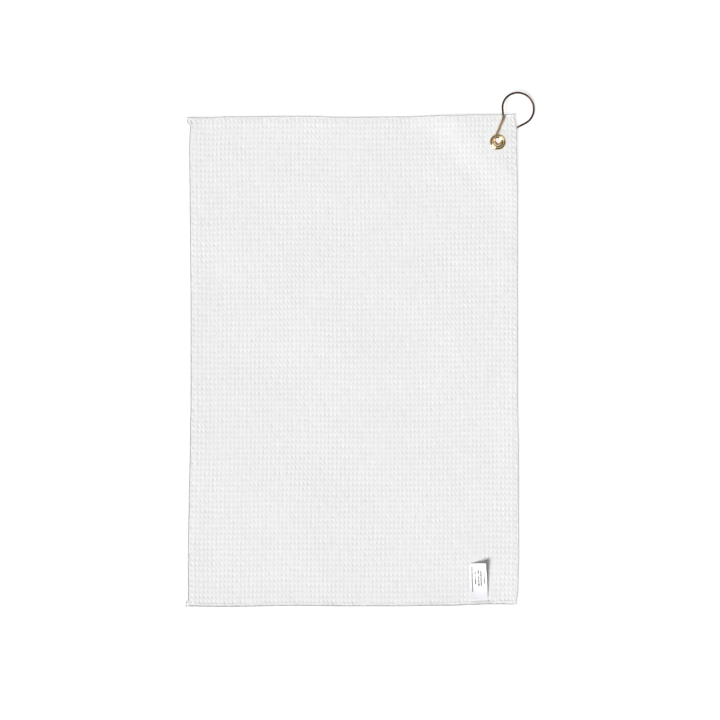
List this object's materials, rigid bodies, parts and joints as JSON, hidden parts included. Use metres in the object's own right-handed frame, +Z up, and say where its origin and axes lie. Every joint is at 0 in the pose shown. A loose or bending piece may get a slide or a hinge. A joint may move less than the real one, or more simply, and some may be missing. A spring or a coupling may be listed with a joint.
{
  "type": "golf towel",
  "caption": "White waffle-weave golf towel with serged edges, a brass grommet in one corner, a wire hook that swings in the grommet, and a satin care label.",
  "frame": {"origin": "middle of the cloth's underside, on the surface the towel lies on", "axes": "+Z up out of the towel's face, +Y along the towel's length towards the edge by the grommet, +X towards the side of the grommet and the label"},
  "size_m": [0.4319, 0.6386, 0.0091],
  "materials": {
    "waffle_cloth": "white waffle-weave microfibre",
    "edge_thread": "white textured polyester thread",
    "label_satin": "white satin ribbon",
    "grommet_brass": "polished brass",
    "hook_bronze": "antique brass wire"
  },
  "bodies": {
    "towel": {"towel_cloth": "waffle_cloth", "top_upper_looper_thread": "edge_thread", "top_lower_looper_thread": "edge_thread", "top_needle_thread": "edge_thread", "bottom_upper_looper_thread": "edge_thread", "bottom_lower_looper_thread": "edge_thread", "bottom_needle_thread": "edge_thread", "left_upper_looper_thread": "edge_thread", "left_lower_looper_thread": "edge_thread", "left_needle_thread": "edge_thread", "right_upper_looper_thread": "edge_thread", "right_lower_looper_thread": "edge_thread", "right_needle_thread": "edge_thread", "grommet_eyelet": "grommet_brass", "grommet_washer": "grommet_brass", "care_label_sewn_end": "label_satin"},
    "hook": {"hook_wire": "hook_bronze"},
    "label": {"care_label": "label_satin"}
  },
  "joints": [
    {"name": "hook_swing", "type": "hinge", "parent": "towel", "child": "hook", "pos_m": [0.1793, 0.2714, 0.004], "axis": [0, 0, 1], "range_deg": [-90, 60]},
    {"name": "label_flip", "type": "hinge", "parent": "towel", "child": "label", "pos_m": [0.157, -0.30145, 0.00255], "axis": [0.9986, 0.0523, 0], "range_deg": [0, 160]}
  ]
}
